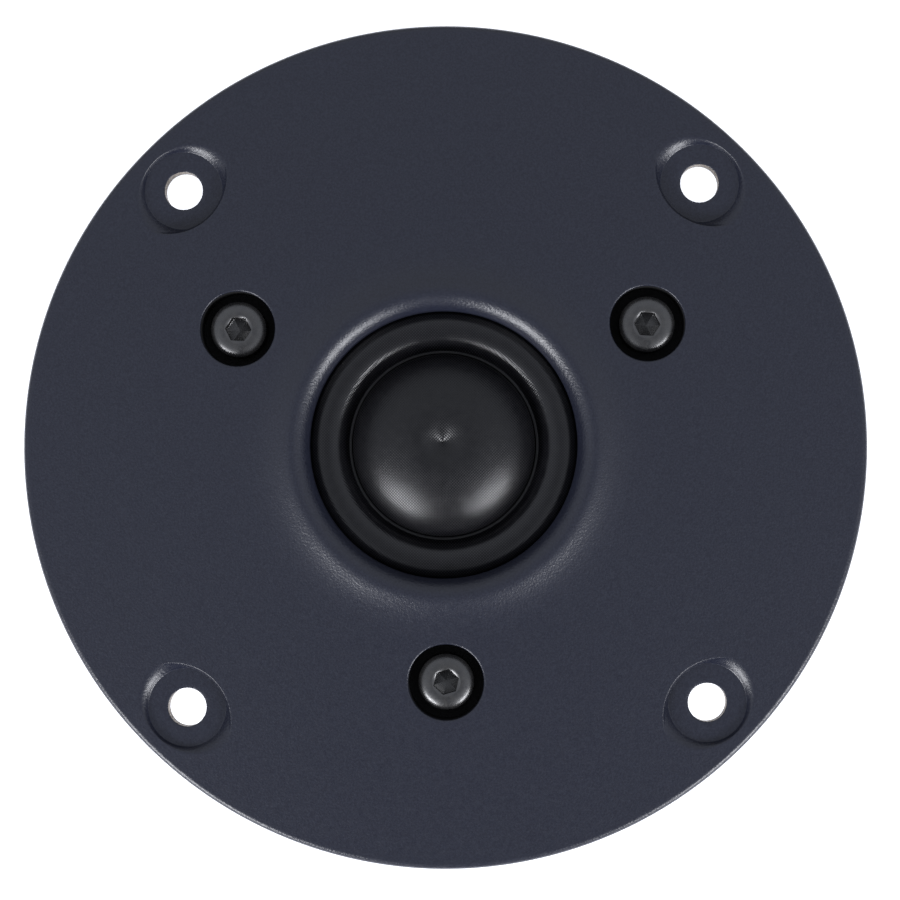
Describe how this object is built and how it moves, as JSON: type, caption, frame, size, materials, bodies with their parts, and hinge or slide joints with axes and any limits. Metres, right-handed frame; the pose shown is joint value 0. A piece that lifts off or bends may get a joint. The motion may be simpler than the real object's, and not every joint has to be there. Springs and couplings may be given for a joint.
{
  "type": "dome tweeter",
  "caption": "Soft-dome tweeter with a round metal faceplate, recessed fixing holes, a ferrite motor, push-on tabs and a closed rear chamber.",
  "frame": {"origin": "centre of the mounting circle in the flange's rear face, the plane that closes on a baffle", "axes": "+Z along the dome's axis towards the listener, +Y from the axis to the terminals, +X to the right seen from the front"},
  "size_m": [0.11, 0.11, 0.0513],
  "materials": {
    "powder_coat": "matte",
    "foam": "matte",
    "black_steel": "satin",
    "coated_cloth": "satin",
    "carrier_plastic": "matte",
    "bare_steel": "satin",
    "former_foil": "satin",
    "enamelled_copper": "satin",
    "amber_tape": "gloss",
    "tinsel_copper": "satin",
    "tinned_brass": "satin",
    "red_fibre": "matte",
    "rivet_brass": "satin",
    "zinc_steel": "satin",
    "ferrite": "matte",
    "bare_copper": "satin",
    "felt": "matte",
    "chamber_plastic": "satin",
    "wadding": "matte"
  },
  "bodies": {
    "driver": {"faceplate": "powder_coat", "baffle_gasket": "foam", "clamp_screws": "black_steel", "surround": "coated_cloth", "diaphragm_carrier": "carrier_plastic", "locating_pins": "bare_steel", "lead_wire_positive": "tinsel_copper", "lead_wire_negative": "tinsel_copper", "terminal_positive": "tinned_brass", "terminal_negative": "tinned_brass", "positive_washer": "red_fibre", "terminal_rivets": "rivet_brass", "top_plate": "zinc_steel", "magnet": "ferrite", "back_plate": "zinc_steel", "pole_piece": "bare_steel", "copper_cap": "bare_copper", "pole_damping_ring": "felt", "vent_damper": "felt", "rear_chamber": "chamber_plastic", "chamber_gasket": "foam", "chamber_wadding": "wadding", "chamber_screws": "black_steel"},
    "moving_assembly": {"dome": "coated_cloth", "coil_former": "former_foil", "voice_coil": "enamelled_copper", "coil_collar": "amber_tape"}
  },
  "joints": [
    {"name": "dome_excursion", "type": "slide", "parent": "driver", "child": "moving_assembly", "axis": [0, 0, 1], "range_m": [-0.0008, 0.0008], "stiffness_N_per_m": 6500, "deforming": ["surround", "lead_wire_positive", "lead_wire_negative"]}
  ]
}
